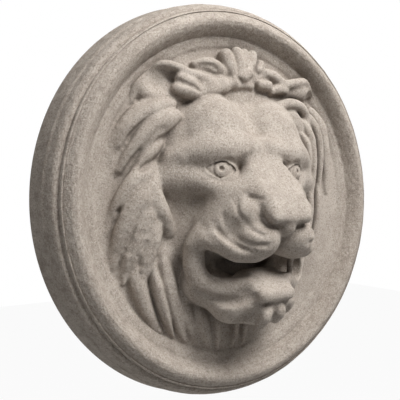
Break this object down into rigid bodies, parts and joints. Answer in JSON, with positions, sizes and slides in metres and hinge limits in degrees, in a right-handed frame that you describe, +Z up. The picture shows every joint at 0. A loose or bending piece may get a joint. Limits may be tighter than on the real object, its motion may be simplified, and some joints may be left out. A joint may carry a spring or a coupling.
{
  "type": "lion head roundel",
  "caption": "Round wall ornament in cast stone: an open-mouthed lion's head in high relief inside a moulded round frame, with a flat back.",
  "frame": {"origin": "centre of the flat back face, the face that lies on the wall", "axes": "+Y into the wall, so the lion looks along -Y; +Z up; +X to the right of someone who faces the lion"},
  "size_m": [0.4999, 0.15, 0.5],
  "materials": {
    "cast_stone": "weathered warm grey cast stone, fine sandy grain, matt"
  },
  "bodies": {
    "root": {"lion_roundel": "cast_stone"}
  },
  "joints": []
}
